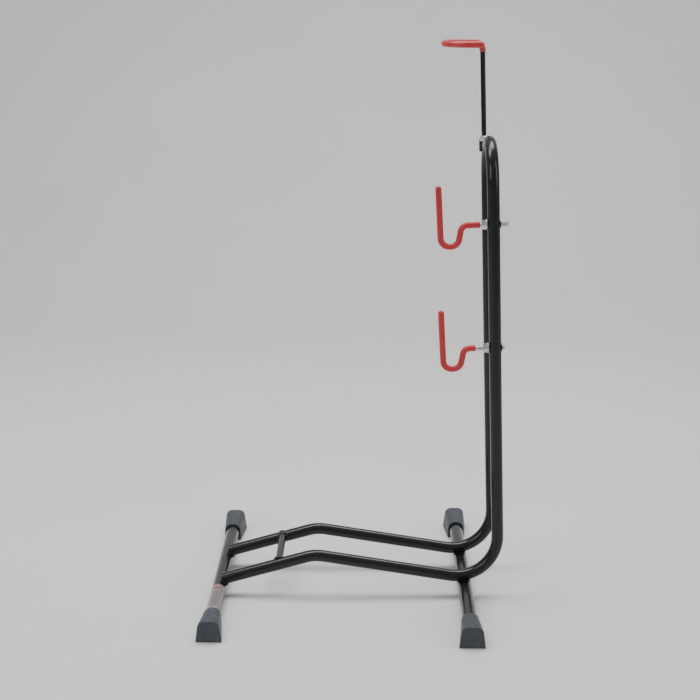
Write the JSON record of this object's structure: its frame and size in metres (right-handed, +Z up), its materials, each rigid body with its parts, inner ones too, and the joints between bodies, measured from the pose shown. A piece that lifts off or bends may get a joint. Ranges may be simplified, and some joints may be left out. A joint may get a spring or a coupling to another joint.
{
  "type": "bicycle floor stand",
  "caption": "Free-standing bicycle floor stand: a bent tube loop on two footed crossbars holds the rear wheel, with swivelling coated hooks for the frame.",
  "frame": {"origin": "on the floor, under the middle of the bounding box", "axes": "+X from the rear crossbar to the upright legs, -Y to the side with the two J-hooks, +Z up"},
  "size_m": [0.4731, 0.495, 0.8708],
  "materials": {
    "black_paint": "gloss black powder coat",
    "foot_plastic": "moulded, slightly satin dark grey",
    "red_vinyl": "dipped soft vinyl with a soft gloss",
    "zinc": "bright zinc plate",
    "zinc_rod": "zinc-plated round bar",
    "sticker": "printed vinyl, white panel with a red border"
  },
  "bodies": {
    "frame": {"boss_weld": "black_paint", "frame_loop": "black_paint", "front_crossbar": "black_paint", "front_far_foot": "foot_plastic", "front_near_foot": "foot_plastic", "front_rail_welds": "black_paint", "label": "sticker", "lower_hook_insert": "black_paint", "lower_hook_nut": "zinc", "lower_hook_washer": "zinc", "rear_crossbar": "black_paint", "rear_far_foot": "foot_plastic", "rear_near_foot": "foot_plastic", "rear_rail_welds": "black_paint", "rung_welds": "black_paint", "top_hook_boss": "black_paint", "top_hook_nut": "zinc", "top_hook_washer": "zinc", "upper_hook_insert": "black_paint", "upper_hook_nut": "zinc", "upper_hook_washer": "zinc", "wheel_rung": "black_paint"},
    "upper_hook": {"upper_hook_rod": "zinc_rod", "upper_hook_coating": "red_vinyl"},
    "lower_hook": {"lower_hook_rod": "zinc_rod", "lower_hook_coating": "red_vinyl"},
    "top_hook": {"top_hook_rod": "black_paint", "top_hook_coating": "red_vinyl"}
  },
  "joints": [
    {"name": "upper_hook_turn", "type": "hinge", "parent": "frame", "child": "upper_hook", "pos_m": [0.20877, -0.058, 0.603], "axis": [0.9993, 0, 0.0366], "range_deg": [-180, 180]},
    {"name": "lower_hook_turn", "type": "hinge", "parent": "frame", "child": "lower_hook", "pos_m": [0.21577, -0.058, 0.412], "axis": [0.9993, 0, 0.0366], "range_deg": [-180, 180]},
    {"name": "top_hook_swing", "type": "hinge", "parent": "frame", "child": "top_hook", "pos_m": [0.1997, 0.048, 0.71637], "axis": [-0.0384, 0, 0.9993], "range_deg": [-180, 180]}
  ]
}
